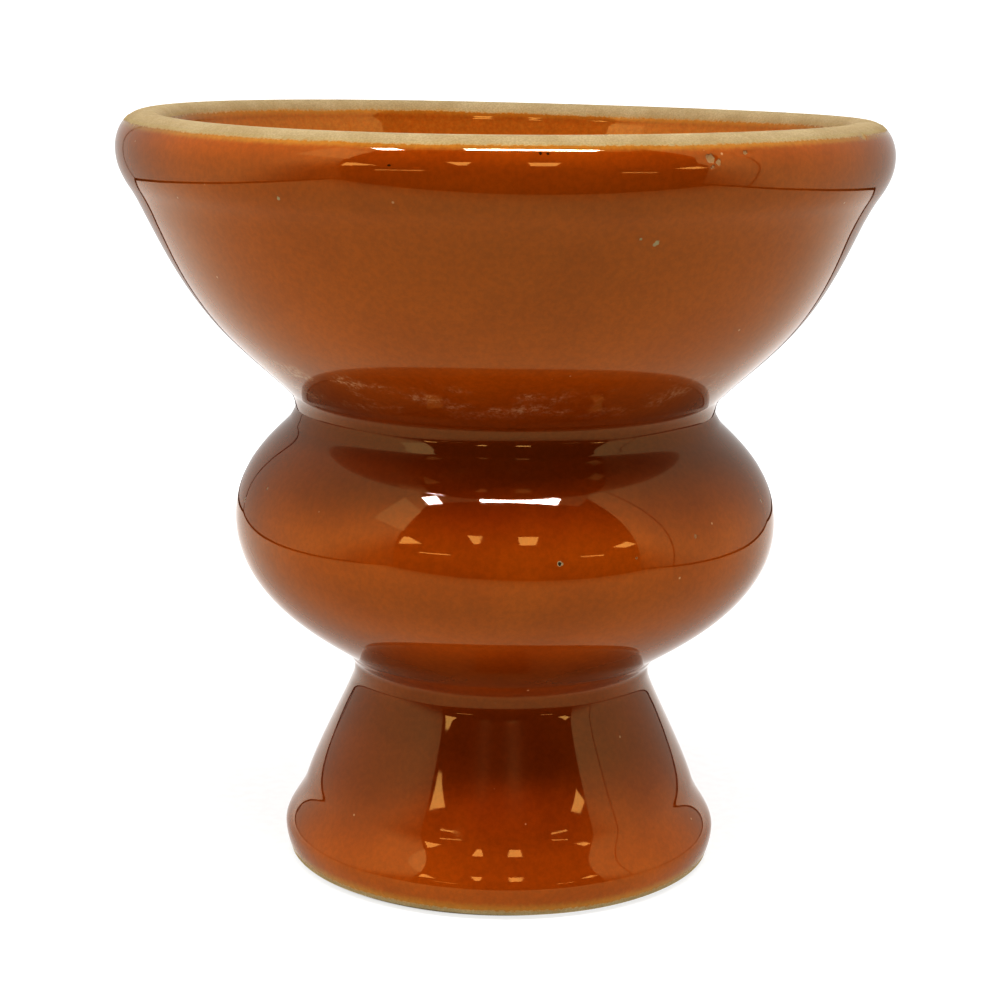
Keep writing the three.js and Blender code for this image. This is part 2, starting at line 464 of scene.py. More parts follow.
def air_hole_pins(radius, flare, top, bottom):
    """Upright pins for cutting the air holes, widening by flare at their top and bottom faces."""
    shape = bmesh.new()
    above = top + PIN_PAST
    below = bottom - PIN_PAST
    side = join(
        [at(radius + flare, below)],
        oval(at(radius + flare, bottom + flare), flare, flare, -math.pi / 2, -math.pi, 6),
        oval(at(radius + flare, top - flare), flare, flare, math.pi, math.pi / 2, 6),
        [at(radius + flare, above)],
    )
    lean = drift(top)
    for place in air_hole_places():
        rings = []
        for point in side:
            ring = []
            for i in range(HOLE_SEGMENTS):
                turn = 2 * math.pi * i / HOLE_SEGMENTS
                x = place.x + lean + point.x * math.cos(turn)
                y = place.y + point.x * math.sin(turn)
                ring.append(shape.verts.new(Vector((x, y, point.y)) * MM))
            rings.append(ring)
        for low, high in zip(rings, rings[1:]):
            for i in range(HOLE_SEGMENTS):
                k = (i + 1) % HOLE_SEGMENTS
                shape.faces.new((low[i], low[k], high[k], high[i]))
        shape.faces.new(rings[0][::-1])
        shape.faces.new(rings[-1])
    bmesh.ops.recalc_face_normals(shape, faces=shape.faces)
    return as_object("air_hole_pins", shape)


def pierced(piece, pins):
    """The piece with the pins cut out of it. The pins are used up."""
    cut = piece.modifiers.new("air_holes", "BOOLEAN")
    cut.operation = "DIFFERENCE"
    cut.solver = "EXACT"
    cut.object = pins
    graph = bpy.context.evaluated_depsgraph_get()
    mesh = bpy.data.meshes.new_from_object(piece.evaluated_get(graph))
    piece.modifiers.clear()
    mesh.name = piece.data.name
    piece.data = mesh
    mesh.set_sharp_from_angle(angle=math.radians(40))
    bpy.data.objects.remove(pins)
    return piece


def paint(piece, name, value_at):
    """Stores a number for each point of the mesh, worked out from its radius, angle and height."""
    values = [value_at(*on_bowl(vertex.co)) for vertex in piece.data.vertices]
    layer = piece.data.attributes.new(name, "FLOAT", "POINT")
    layer.data.foreach_set("value", values)


# ---- the clay sections ----
def under_outer(outline, angle):
    """The clay's surface under the outer coat."""
    return sunk(outline, lambda height: thickness(outer_film(height, angle)))


def under_inner(outline, angle):
    """The clay's surface under the inner coat."""
    return sunk(outline, lambda height: thickness(inner_film(height, angle)))


def foot_body():
    """The flared foot, with the tapered socket for the stem inside."""

    def outline(angle):
        return [
            at(SOCKET + 0.3, 0),
            at(SOCKET + 1.5, 0),
            at(BASE - 1.2, 0),
            at(BASE - 0.1, 0.04),
            at(BASE + 0.3, 0.2),
            at(BASE + 0.6, 0.5),
            *under_outer(foot_skin(angle), angle),
            at(NECK, LOWER_LUTE[0]),
            SOCKET_MIDDLE,
            at(SOCKET - 0.15, 0.6),
        ]

    return turned("foot_clay", outline)


def bulb_body():
    """The hollow bulb."""
    skin = under_outer(bulb_skin(), 0)
    outline = [*skin, *chamber()]
    return turned("bulb_clay", lambda angle: outline)


def dish_wall():
    """The dish with its rolled rim and the seat for its floor."""

    def outline(angle):
        return [
            *under_outer(dish_skin(angle), angle),
            *sunk(crest(angle), lambda height: GLAZE_EDGE)[1:-1],
            *under_inner(lining_wall(angle), angle),
            at(FLOOR_RADIUS + FLOOR_PLAY, FLOOR_TOP),
            at(FLOOR_RADIUS + FLOOR_PLAY, FLOOR_UNDER),
            at(THROAT, FLOOR_UNDER),
            at(THROAT, UPPER_LUTE[1]),
        ]

    return turned("dish_clay", outline)


def dish_floor():
    """The disc of clay with the air holes."""

    def outline(angle):
        return [
            at(0, FLOOR_UNDER),
            at(FLOOR_RADIUS / 2, FLOOR_UNDER),
            at(FLOOR_RADIUS, FLOOR_UNDER),
            at(FLOOR_RADIUS, FLOOR_TOP),
            at(FLOOR_RADIUS / 2, FLOOR_TOP),
            at(0, FLOOR_TOP),
        ]

    disc = turned("floor_clay", outline, reaches_axis=True)
    return pierced(disc, air_hole_pins(AIR_HOLE, AIR_HOLE_FLARE, FLOOR_TOP, FLOOR_UNDER))


def slip_ring(name, inner, waist, lute):
    """A ring of slip that lutes two sections together at a waist, squeezed out a little inside."""

    def outline(angle):
        low, high = lute
        squeezed = inner - SQUEEZED_OUT - 0.1 * waver(angle, 9, low)
        return [
            at(inner, low),
            at(waist - GLAZE, low),
            at(waist - GLAZE, high),
            at(inner, high),
            at(squeezed, high - 0.1),
            at(squeezed - 0.1, (low + high) / 2),
            at(squeezed, low + 0.1),
        ]

    return turned(name, outline)


# ---- flaws in the outer glaze: degrees round from the front towards +X, height, and radius ----
CHIPS = ((27.3, 77.3, 0.45), (28.4, 77.0, 0.3), (27.6, 76.6, 0.25), (61.1, 78.6, 0.6), (33.0, 77.7, 0.2))
SPECKS = ((21.6, 69.6, 0.33), (19.2, 70.1, 0.16), (10.7, 38.3, 0.28), (-31.0, 73.2, 0.14))
PINHOLES = ((-14.7, 76.7, 0.14), (10.7, 38.25, 0.13), (4.5, 77.9, 0.10), (5.4, 77.9, 0.08))
PITS = (
    (70.6, 40.8, 0.25),
    (-71.9, 39.9, 0.30),
    (41.3, 39.6, 0.16),
    (26.4, 38.3, 0.15),
    (-61.5, 42.0, 0.18),
)
CHIP_DEPTH = 0.18
DENT_SKIN = 0.35  # a dent moves only what is less than this far in from the surface


def flaws(listed):
    """The place, in metres, and the radius, in millimetres, of each flaw that is listed."""
    found = []
    for turn, height, size in listed:
        angle = math.radians(turn - 90)
        skin = join(foot_skin(angle), bulb_skin(), dish_skin(angle))
        radius = along_stations([(point.y, point.x) for point in skin], height)
        found.append((placed(at(radius, height), angle), size))
    return found


def dent(coat, place, size, depth):
    """Pushes the surface round a place in towards the axis, without moving the back of the coat."""
    for vertex in coat.data.vertices:
        near = 1 - (vertex.co - place).length / (size * MM)
        if near > 0 and on_bowl(vertex.co)[0] > on_bowl(place)[0] - DENT_SKIN:
            inwards = Vector((-vertex.co.x, -vertex.co.y, 0)).normalized()
            vertex.co += inwards * depth * MM * smooth(2 * near)


# ---- the coats of glaze ----
LINING_WASH = 0.62  # the lining is a thinner wash than the outside


def outer_glaze():
    """The coat from the foot's edge to the crest."""

    def outline(angle):
        skin = join(foot_skin(angle), bulb_skin(), dish_skin(angle))
        back = join(
            under_outer(foot_skin(angle), angle),
            under_outer(bulb_skin(), angle),
            under_outer(dish_skin(angle), angle),
        )
        return [*skin, *reversed(back)]

    coat = turned("outer_coat", outline)
    for place, size in flaws(CHIPS):
        dent(coat, place, size, CHIP_DEPTH)
    paint(coat, "film", lambda radius, angle, height: outer_film(height, angle))
    # The stations give pooled glaze and painted shade under the overhangs.
    paint(coat, "pool_and_shade", lambda radius, angle, height: along_stations(POOLS_AND_SHADE, height))
    paint(coat, "wiped", lambda radius, angle, height: wiped(height, angle))
    return coat


def inner_glaze():
    """The coat inside the dish, which stops short of the air holes."""

    def outline(angle):
        return [
            at(0, FLOOR_TOP),
            at(FLOOR_RADIUS + FLOOR_PLAY, FLOOR_TOP),
            *reversed(under_inner(lining_wall(angle), angle)),
            *join(lining_wall(angle), lining_floor()),
        ]

    coat = turned("inner_coat", outline, reaches_axis=True)
    pins = air_hole_pins(AIR_HOLE + GLAZE_DRAWN_BACK, GLAZE_FLARE, FLOOR_TOP + GLAZE, FLOOR_TOP - PIN_PAST)
    pierced(coat, pins)

    def film(radius, angle, height):
        full = LINING_WASH * inner_film(height, angle)
        if height > FLOOR_TOP + 1.5:
            return full
        place = at(math.cos(angle), math.sin(angle)) * radius
        from_hole = min((place - hole).length for hole in air_hole_places()) - AIR_HOLE
        return full * smooth(from_hole - 0.1)

    paint(coat, "film", film)
    return coat


# ---- materials ----
class Nodes:
    """A material's node tree, with short calls for the nodes that the materials share.

    The scale of a pattern is in waves or cells to a metre, so 1000 gives details of about a millimetre.
    """

    def __init__(self, name):
        self.material = bpy.data.materials.new(name)
        self.material.use_nodes = True
        self.tree = self.material.node_tree
        self.tree.nodes.clear()
        self.place = self.add("ShaderNodeTexCoord").outputs["Object"]

    def add(self, kind, **settings):
        made = self.tree.nodes.new(kind)
        for name, value in settings.items():
            setattr(made, name, value)
        return made

    def feed(self, socket, value):
        """Gives an input a value or another node's output."""
        if isinstance(value, bpy.types.NodeSocket):
            self.tree.links.new(value, socket)
        else:
            socket.default_value = value

    def coordinates(self):
        """The place on the object as separate X, Y and Z."""
        made = self.add("ShaderNodeSeparateXYZ")
        self.feed(made.inputs["Vector"], self.place)
        return made.outputs

    def distance(self):
        """How far the place is from the origin."""
        made = self.add("ShaderNodeVectorMath", operation="LENGTH")
        self.feed(made.inputs[0], self.place)
        return made.outputs["Value"]

    def painted(self, name):
        """A number that paint stored on the mesh, or 0 on a mesh that doesn't have it."""
        return self.add("ShaderNodeAttribute", attribute_name=name).outputs["Fac"]

    def flattened(self, times):
        """The place on the object with its height stretched, which lays a pattern into flat streaks."""
        made = self.add("ShaderNodeVectorMath", operation="MULTIPLY")
        self.feed(made.inputs[0], self.place)
        self.feed(made.inputs[1], (1, 1, times))
        return made.outputs["Vector"]

    def noise(self, scale, detail=2.0, roughness=0.5, place=None):
        made = self.add("ShaderNodeTexNoise")
        self.feed(made.inputs["Vector"], place or self.place)
        self.feed(made.inputs["Scale"], scale)
        self.feed(made.inputs["Detail"], detail)
        self.feed(made.inputs["Roughness"], roughness)
        return made.outputs["Fac"]

    def cells(self, scale):
        made = self.add("ShaderNodeTexVoronoi")
        self.feed(made.inputs["Vector"], self.place)
        self.feed(made.inputs["Scale"], scale)
        return made

    def spread(self, value, low, high, to_low=0.0, to_high=1.0):
        """A value remapped from one range to another and kept inside it."""
        made = self.add("ShaderNodeMapRange", interpolation_type="SMOOTHSTEP")
        self.feed(made.inputs["Value"], value)
        self.feed(made.inputs["From Min"], low)
        self.feed(made.inputs["From Max"], high)
        self.feed(made.inputs["To Min"], to_low)
        self.feed(made.inputs["To Max"], to_high)
        return made.outputs["Result"]

    def math(self, operation, first, second):
        made = self.add("ShaderNodeMath", operation=operation)
        self.feed(made.inputs[0], first)
        self.feed(made.inputs[1], second)
        return made.outputs[0]

    def mix(self, factor, first, second, blend="MIX"):
        made = self.add("ShaderNodeMix", data_type="RGBA", blend_type=blend)
        self.feed(made.inputs["Factor"], factor)
        self.feed(made.inputs["A"], first)
        self.feed(made.inputs["B"], second)
        return made.outputs["Result"]

    def within(self, places, frayed):
        """1 inside any of the small round spots of the given places and radii, and 0 outside them."""
        covered = None
        for place, size in places:
            gap = self.add("ShaderNodeVectorMath", operation="DISTANCE")
            self.feed(gap.inputs[0], self.place)
            self.feed(gap.inputs[1], place)
            ragged = self.math("ADD", gap.outputs["Value"], frayed)
            spot = self.spread(ragged, 0.6 * size * MM, 1.1 * size * MM, 1.0, 0.0)
            covered = spot if covered is None else self.math("MAXIMUM", covered, spot)
        return covered

    def bump(self, height, distance, over=None):
        """Relief of so many millimetres, over another relief if one is given."""
        made = self.add("ShaderNodeBump")
        self.feed(made.inputs["Height"], height)
        self.feed(made.inputs["Distance"], distance * MM)
        if over is not None:
            self.feed(made.inputs["Normal"], over)
        return made.outputs["Normal"]

    def finish(self, shader):
        """The material, with the shader as its surface."""
        output = self.add("ShaderNodeOutputMaterial")
        self.feed(output.inputs["Surface"], shader)
        return self.material


def rgb(red, green, blue):
    return (red, green, blue, 1.0)


CLAY = rgb(0.51, 0.395, 0.225)
CLAY_DARK = rgb(0.34, 0.24, 0.12)
CLAY_PALE = rgb(0.58, 0.47, 0.29)
# Partly stain on the bare clay and partly painted shade where the bowl stands on the floor.
STAIN_AND_SHADE = rgb(0.13, 0.10, 0.04)
STAIN_AND_SHADE_HIGH = 0.9  # the outer edge that the bowl stands on is darkened up to this height, partly stain and partly painted shade
STAIN_AND_SHADE_WIDE = 0.9  # and this far in underneath


def clay_colour(nodes):
    """Buff clay with soft pale clouds and dark grains."""
    clouds = nodes.spread(nodes.noise(260, 3), 0.3, 0.7)
    colour = nodes.mix(clouds, CLAY, CLAY_PALE)
    grain = nodes.spread(nodes.noise(5200, 2), 0.35, 0.65)
    colour = nodes.mix(nodes.math("MULTIPLY", grain, 0.35), colour, CLAY_DARK)
    return colour


def clay_material(name, tint):
    """Matt, slightly gritty clay."""
    nodes = Nodes(name)
    colour = nodes.mix(1.0, clay_colour(nodes), tint, "MULTIPLY")
    # Painted shade with some stain along the foot's bottom edge, fainter further in underneath.
    low = nodes.spread(nodes.coordinates()["Z"], 0.2 * MM, STAIN_AND_SHADE_HIGH * MM, 0.95, 0.0)
    outer = nodes.spread(nodes.distance(), (BASE - STAIN_AND_SHADE_WIDE) * MM, BASE * MM, 0.12, 1.0)
    colour = nodes.mix(nodes.math("MULTIPLY", low, outer), colour, STAIN_AND_SHADE)
    normal = nodes.bump(nodes.noise(900, 3), 0.04)
    normal = nodes.bump(nodes.noise(4800, 2), 0.05, normal)
    shader = nodes.add("ShaderNodeBsdfPrincipled")
    nodes.feed(shader.inputs["Base Color"], colour)
    nodes.feed(shader.inputs["Roughness"], nodes.spread(nodes.noise(1500, 2), 0.3, 0.7, 0.72, 0.92))
    nodes.feed(shader.inputs["Normal"], normal)
    return nodes.finish(shader.outputs["BSDF"])


GLAZE_FULL = rgb(0.54, 0.138, 0.004)
GLAZE_THIN = rgb(0.56, 0.25, 0.035)
# The dark red of pooled glaze, used also as painted shade under the overhangs.
GLAZE_POOL_AND_SHADE = rgb(0.34, 0.064, 0.002)
GLAZE_MIRROR = rgb(1.0, 0.92, 0.45)  # the tint of what the glaze mirrors
GLAZE_IOR = 1.68
GRAZING_SHADE = 0.55  # light that goes in and out at a grazing angle crosses more of the glaze
CHIPPED = 0.65  # how bare a chip is
# Painted shade inside a pinhole, which has no depth in the mesh.
PINHOLE_SHADE = rgb(0.03, 0.012, 0.006)
WIPED_ROUGHNESS = 0.18  # added where the glaze is wiped
WIPED_SHINE = 0.12  # where the rest has 0.5
DUST = rgb(0.88, 0.66, 0.42)
DUSTY = (51.0, 52.3, 54.6, 55.9)  # dust lies between these heights, thickest between the middle two


def dust_cover(nodes):
    """Flat streaks of dust under the dish, thicker on the left, and single specks everywhere."""
    parts = nodes.coordinates()
    rising = nodes.spread(parts["Z"], DUSTY[0] * MM, DUSTY[1] * MM)
    falling = nodes.spread(parts["Z"], DUSTY[2] * MM, DUSTY[3] * MM, 1.0, 0.0)
    band = nodes.math("MULTIPLY", rising, falling)
    wipes = nodes.spread(nodes.noise(190, 4, 0.6, nodes.flattened(2.6)), 0.46, 0.72)
    powder = nodes.spread(nodes.noise(1900, 3, 0.7), 0.36, 0.74)
    left = nodes.spread(parts["X"], -14 * MM, 8 * MM, 0.9, 0.4)
    streaks = nodes.math("MULTIPLY", nodes.math("MULTIPLY", wipes, powder), left)
    streaks = nodes.math("MULTIPLY", streaks, band)
    grains = nodes.cells(620)
    chosen = nodes.add("ShaderNodeSeparateColor")
    nodes.feed(chosen.inputs["Color"], grains.outputs["Color"])
    rare = nodes.spread(chosen.outputs["Red"], 0.93, 0.95)
    dot = nodes.spread(grains.outputs["Distance"], 0.04, 0.11, 0.6, 0.0)
    return nodes.math("MAXIMUM", streaks, nodes.math("MULTIPLY", dot, rare))


def coated_colour(nodes, film):
    """The glaze's colour where it is as full as film."""
    clouds = nodes.spread(nodes.noise(110, 3), 0.3, 0.7, -0.14, 0.14)
    # Darker red where the glaze has run together, and painted shade under the dish and the bulb.
    body = nodes.mix(nodes.math("ADD", nodes.painted("pool_and_shade"), clouds), GLAZE_FULL, GLAZE_POOL_AND_SHADE)
    colour = nodes.mix(nodes.spread(film, 0.3, 0.98), GLAZE_THIN, body)
    mottle = nodes.spread(nodes.noise(1700, 3, 0.7), 0.3, 0.7, 0.93, 1.07)
    colour = nodes.mix(1.0, colour, mottle, "MULTIPLY")
    grazing = nodes.add("ShaderNodeLayerWeight").outputs["Facing"]
    depth = nodes.spread(grazing, 0.4, 0.9, 1.0, GRAZING_SHADE)
    return nodes.mix(1.0, colour, depth, "MULTIPLY")


def amber_glaze_material():
    """Amber glaze over buff clay: yellower where it is thin, and redder and darker where it has run together
    and where shade is painted in under the dish and the bulb.
    """
    nodes = Nodes("amber_glaze")
    film = nodes.painted("film")
    film = nodes.math("ADD", film, nodes.spread(nodes.noise(2600, 3), 0.3, 0.7, -0.06, 0.06))
    frayed = nodes.spread(nodes.noise(2300, 2), 0.3, 0.7, -0.1 * MM, 0.1 * MM)
    chips = nodes.math("MULTIPLY", nodes.within(flaws(CHIPS), frayed), CHIPPED)
    pits = nodes.within(flaws(PITS), frayed)
    pinholes = nodes.within(flaws(PINHOLES), frayed)
    dust = dust_cover(nodes)
    bare = nodes.math("MAXIMUM", nodes.spread(film, 0.05, 0.30, 1.0, 0.0), chips)

    colour = nodes.mix(dust, coated_colour(nodes, film), DUST)
    colour = nodes.mix(bare, colour, clay_colour(nodes))
    colour = nodes.mix(nodes.within(flaws(SPECKS), frayed), colour, CLAY_PALE)
    colour = nodes.mix(nodes.math("MULTIPLY", pits, 0.4), colour, CLAY)
    # Painted shade: the pinholes are darkened instead of being cut in.
    colour = nodes.mix(nodes.math("MULTIPLY", pinholes, 0.9), colour, PINHOLE_SHADE)

    normal = nodes.bump(nodes.noise(300, 1), 0.006)
    sound = nodes.math("SUBTRACT", 1.0, nodes.math("MAXIMUM", pits, chips))
    normal = nodes.bump(sound, 0.08, normal)

    matt = nodes.painted("wiped")
    rough = nodes.spread(nodes.noise(500, 3), 0.35, 0.7, 0.03, 0.06)
    rough = nodes.math("ADD", rough, nodes.math("MULTIPLY", matt, WIPED_ROUGHNESS))
    rough = nodes.math("MAXIMUM", rough, nodes.math("MULTIPLY", bare, 0.8))
    rough = nodes.math("MAXIMUM", rough, nodes.math("MULTIPLY", dust, 0.35))

    shader = nodes.add("ShaderNodeBsdfPrincipled")
    nodes.feed(shader.inputs["Base Color"], colour)
    nodes.feed(shader.inputs["Roughness"], rough)
    nodes.feed(shader.inputs["IOR"], GLAZE_IOR)
    nodes.feed(shader.inputs["Specular IOR Level"], nodes.spread(matt, 0.0, 1.0, 0.5, WIPED_SHINE))
    nodes.feed(shader.inputs["Specular Tint"], GLAZE_MIRROR)
    nodes.feed(shader.inputs["Normal"], normal)
    return nodes.finish(shader.outputs["BSDF"])


# ---- the object ----
def add_piece(piece, node, material):
    """Gives a piece its material, hides the CAD node that it stands for and puts it under the root body."""
    piece.data.materials.clear()
    piece.data.materials.append(material)
    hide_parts(node)
    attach(piece, "root")


stoneware = clay_material("stoneware", rgb(1, 1, 1))
slip = clay_material("slip", rgb(0.88, 0.84, 0.80))
amber_glaze = amber_glaze_material()

add_piece(foot_body(), "foot_body", stoneware)
add_piece(slip_ring("lower_slip", NECK, LOWER_WAIST, LOWER_LUTE), "lower_waist_slip", slip)
add_piece(bulb_body(), "bulb_body", stoneware)
add_piece(slip_ring("upper_slip", THROAT, UPPER_WAIST, UPPER_LUTE), "upper_waist_slip", slip)
add_piece(dish_wall(), "dish_wall", stoneware)
add_piece(dish_floor(), "dish_floor", stoneware)
add_piece(outer_glaze(), "outer_glaze", amber_glaze)
add_piece(inner_glaze(), "inner_glaze", amber_glaze)


# ---- the stage: a pale floor, and a light tent that only the bowl sees, open at the front ----
# Its lengths are in metres.
TENT_SIDE = 0.190
TENT_BACK = 0.225
TENT_FRONT = -0.200
TENT_TOP = 0.400
RIGHT_WALL_FRONT = -0.140  # the right wall stops short of the front
RIGHT_WALL_SEAM = -0.075
FLOOR_LEFT_FRONT = -0.180  # the tent's floor stops short too, further back on the right
FLOOR_RIGHT_FRONT = -0.120
TENT_FLOOR_Z = -0.0003
PALE_FLOOR_Z = -0.0001
PALE_FLOOR_REACH = 0.6
SEAM = 0.006  # width of the dark strips along the floor's edges and up the back left corner
WALL_SEAM = 0.002  # width of the dark line up the right wall
KICK = 0.0035  # height of the dark strip at the foot of the walls
PROUD = 0.0005  # how far the strips lie in front of the walls and over the floor
LAMP_DROP = 0.01  # from the tent's top down to the lamps
ROOM = 0.012  # glow of the dark room
BACK_GLOW = 0.66
FRONT_GLOW = 1.08  # of the side walls where they end at the front
WALL_LIGHT = 0.62  # how much of their glow the side walls give as light, where 1 is all of it
TOP_GLOW = 0.5
FLOOR_GLOW = 0.55
FAR_FLOOR_GLOW = 0.3  # added at the back
BRIGHT_GLOW = 1.6  # of a stretch of the left wall
BRIGHT_STRETCH = (-0.205, 0.09, 0.17, 0.15)  # its front end, length, lower edge and height
LAMP_GLOW = 35
LAMP_MIRRORED = rgb(1.0, 1.08, 2.2)  # bluer, so that the tinted glaze mirrors it as white
PATCH_GLOW = 4.5
PATCH_COLOUR = rgb(1, 0.80, 0.62)
PATCHES_AWAY = 0.185  # from the axis

# Lamps under the tent's top at its open front: left end, width and depth.
LAMPS = (
    ("lamp_strip", -0.055, 0.180, 0.042),
    ("lamp_end", -TENT_SIDE, 0.04, 0.05),
)

# Small lights in the room: degrees round from the front, then corners across and up in millimetres.
PATCHES = (
    (-40, ((-3.6, 79), (-1, 104), (7, 105), (27, 89))),
    (-12, ((-9.8, 132), (11, 133), (9, 104), (1, 101))),
    (10.5, ((-15.6, 134), (11.4, 132.5), (6.2, 101.5), (-13.8, 102))),
    (52, ((-31, 80.5), (-10.6, 92), (1.5, 81), (-14, 74))),
    (-28, ((-13, 62.5), (26, 63.5), (26, 60.5), (-13, 59.5))),
    (37, ((-26, 61), (3.5, 61), (3.5, 58), (-26, 58))),
)


def glow_material(name, colour, strength):
    """Plain light of one colour."""
    nodes = Nodes(name)
    glow = nodes.add("ShaderNodeEmission")
    nodes.feed(glow.inputs["Color"], colour)
    nodes.feed(glow.inputs["Strength"], strength)
    return nodes.finish(glow.outputs["Emission"])


def lamp_material():
    """A lamp that the tinted glaze still mirrors as white."""
    nodes = Nodes("lamp")
    mirrored = nodes.add("ShaderNodeLightPath").outputs["Is Glossy Ray"]
    glow = nodes.add("ShaderNodeEmission")
    nodes.feed(glow.inputs["Color"], nodes.mix(mirrored, rgb(1, 1, 1), LAMP_MIRRORED))
    nodes.feed(glow.inputs["Strength"], LAMP_GLOW)
    return nodes.finish(glow.outputs["Emission"])


def side_wall_material():
    """A tent wall that is brighter towards the open front, but dark in its lowest front corner."""
    nodes = Nodes("side_wall")
    parts = nodes.coordinates()
    strength = nodes.spread(parts["Y"], TENT_FRONT, TENT_BACK, FRONT_GLOW, BACK_GLOW)
    from_corner = nodes.math("ADD", parts["Y"], parts["Z"])
    corner = nodes.spread(from_corner, TENT_FRONT + 0.06, TENT_FRONT + 0.20, 0.15, 1.0)
    strength = nodes.math("MULTIPLY", strength, corner)
    lighting = nodes.add("ShaderNodeLightPath").outputs["Is Diffuse Ray"]
    dimmed = nodes.spread(lighting, 0.0, 1.0, 1.0, WALL_LIGHT)
    glow = nodes.add("ShaderNodeEmission")
    nodes.feed(glow.inputs["Strength"], nodes.math("MULTIPLY", strength, dimmed))
    return nodes.finish(glow.outputs["Emission"])


def staged(name, corners, material, seen=False):
    """A flat four-sided panel. The camera sees it only if seen, and the bowl only if not."""
    mesh = bpy.data.meshes.new(name)
    mesh.from_pydata([Vector(corner) for corner in corners], [], [(0, 1, 2, 3)])
    mesh.materials.append(material)
    made = bpy.data.objects.new(name, mesh)
    made.visible_camera = seen
    made.visible_glossy = not seen
    made.visible_diffuse = not seen
    made.visible_shadow = not seen
    bpy.context.scene.collection.objects.link(made)


def panel(name, corner, side, up, material):
    """A panel from one corner along two sides."""
    corner, side, up = Vector(corner), Vector(side), Vector(up)
    staged(name, (corner, corner + side, corner + side + up, corner + up), material)


def paper(nodes, shade, glow):
    """A shader of matt paper that is lit through from behind."""
    shader = nodes.add("ShaderNodeBsdfPrincipled")
    grain = nodes.spread(nodes.noise(700, 2), 0.3, 0.7)
    dark = rgb(shade, shade, shade)
    light = rgb(shade * 1.1, shade * 1.1, shade * 1.1)
    nodes.feed(shader.inputs["Base Color"], nodes.mix(grain, dark, light))
    nodes.feed(shader.inputs["Roughness"], 0.9)
    nodes.feed(shader.inputs["Specular IOR Level"], 0.0)
    nodes.feed(shader.inputs["Emission Color"], rgb(1, 1, 1))
    nodes.feed(shader.inputs["Emission Strength"], glow)
    return shader.outputs["BSDF"]


def pale_floor_material():
    """Almost white, with a painted shadow: its glow fades towards the bowl and nearly stops under and inside
    the foot, over a faint real shadow. Seen from underneath it isn't there.
    """
    nodes = Nodes("pale_floor")
    away = nodes.distance()
    # Painted shadow: the glow is dimmed near the bowl and nearly put out under and inside the foot.
    painted_shadow_at_foot = nodes.spread(away, (BASE - 1.5) * MM, BASE * MM, 0.04, 1.0)
    glow = nodes.math("MULTIPLY", nodes.spread(away, 0.03, 0.14, 0.66, 0.95), painted_shadow_at_foot)
    clear = nodes.add("ShaderNodeBsdfTransparent")
    mixed = nodes.add("ShaderNodeMixShader")
    nodes.feed(mixed.inputs[0], nodes.add("ShaderNodeNewGeometry").outputs["Backfacing"])
    nodes.feed(mixed.inputs[1], paper(nodes, 0.24, glow))
    nodes.feed(mixed.inputs[2], clear.outputs["BSDF"])
    return nodes.finish(mixed.outputs["Shader"])


def tent_floor_material():
    """The floor that the bowl sees, fading out towards the open front."""
    nodes = Nodes("tent_floor")
    parts = nodes.coordinates()
    slant = (FLOOR_RIGHT_FRONT - FLOOR_LEFT_FRONT) / (2 * TENT_SIDE)
    middle = (FLOOR_RIGHT_FRONT + FLOOR_LEFT_FRONT) / 2
    from_edge = nodes.math("SUBTRACT", parts["Y"], nodes.math("MULTIPLY", parts["X"], slant))
    near = nodes.spread(from_edge, middle, middle + 0.05, 0.35 * FLOOR_GLOW, FLOOR_GLOW)
    far = nodes.spread(from_edge, -0.03, 0.12, 0.0, FAR_FLOOR_GLOW)
    return nodes.finish(paper(nodes, 0.30, nodes.math("ADD", near, far)))


def pale_floor():
    """The floor that the camera sees."""
    corners = [(x * PALE_FLOOR_REACH, y * PALE_FLOOR_REACH) for x, y in ((-1, -1), (1, -1), (1, 1), (-1, 1))]
    staged("pale_floor", [(x, y, PALE_FLOOR_Z) for x, y in corners], pale_floor_material(), seen=True)


ACROSS = (2 * TENT_SIDE, 0, 0)
BACKWARD = (0, TENT_BACK - TENT_FRONT, 0)
RIGHT_BACKWARD = (0, TENT_BACK - RIGHT_WALL_FRONT, 0)
UP = (0, 0, TENT_TOP)


def tent_walls():
    """The tent's walls, top and floor."""
    side = side_wall_material()
    back = glow_material("back_wall", rgb(1, 1, 1), BACK_GLOW)
    top = glow_material("tent_top", rgb(1, 1, 1), TOP_GLOW)
    panel("left_wall", (-TENT_SIDE, TENT_FRONT, 0), BACKWARD, UP, side)
    panel("right_wall", (TENT_SIDE, RIGHT_WALL_FRONT, 0), RIGHT_BACKWARD, UP, side)
    panel("back_wall", (-TENT_SIDE, TENT_BACK, 0), ACROSS, UP, back)
    panel("tent_top", (-TENT_SIDE, TENT_FRONT, TENT_TOP), ACROSS, BACKWARD, top)
    floor = (
        (-TENT_SIDE, FLOOR_LEFT_FRONT),
        (TENT_SIDE, FLOOR_RIGHT_FRONT),
        (TENT_SIDE, TENT_BACK),
        (-TENT_SIDE, TENT_BACK),
    )
    staged("tent_floor", [(x, y, TENT_FLOOR_Z) for x, y in floor], tent_floor_material())


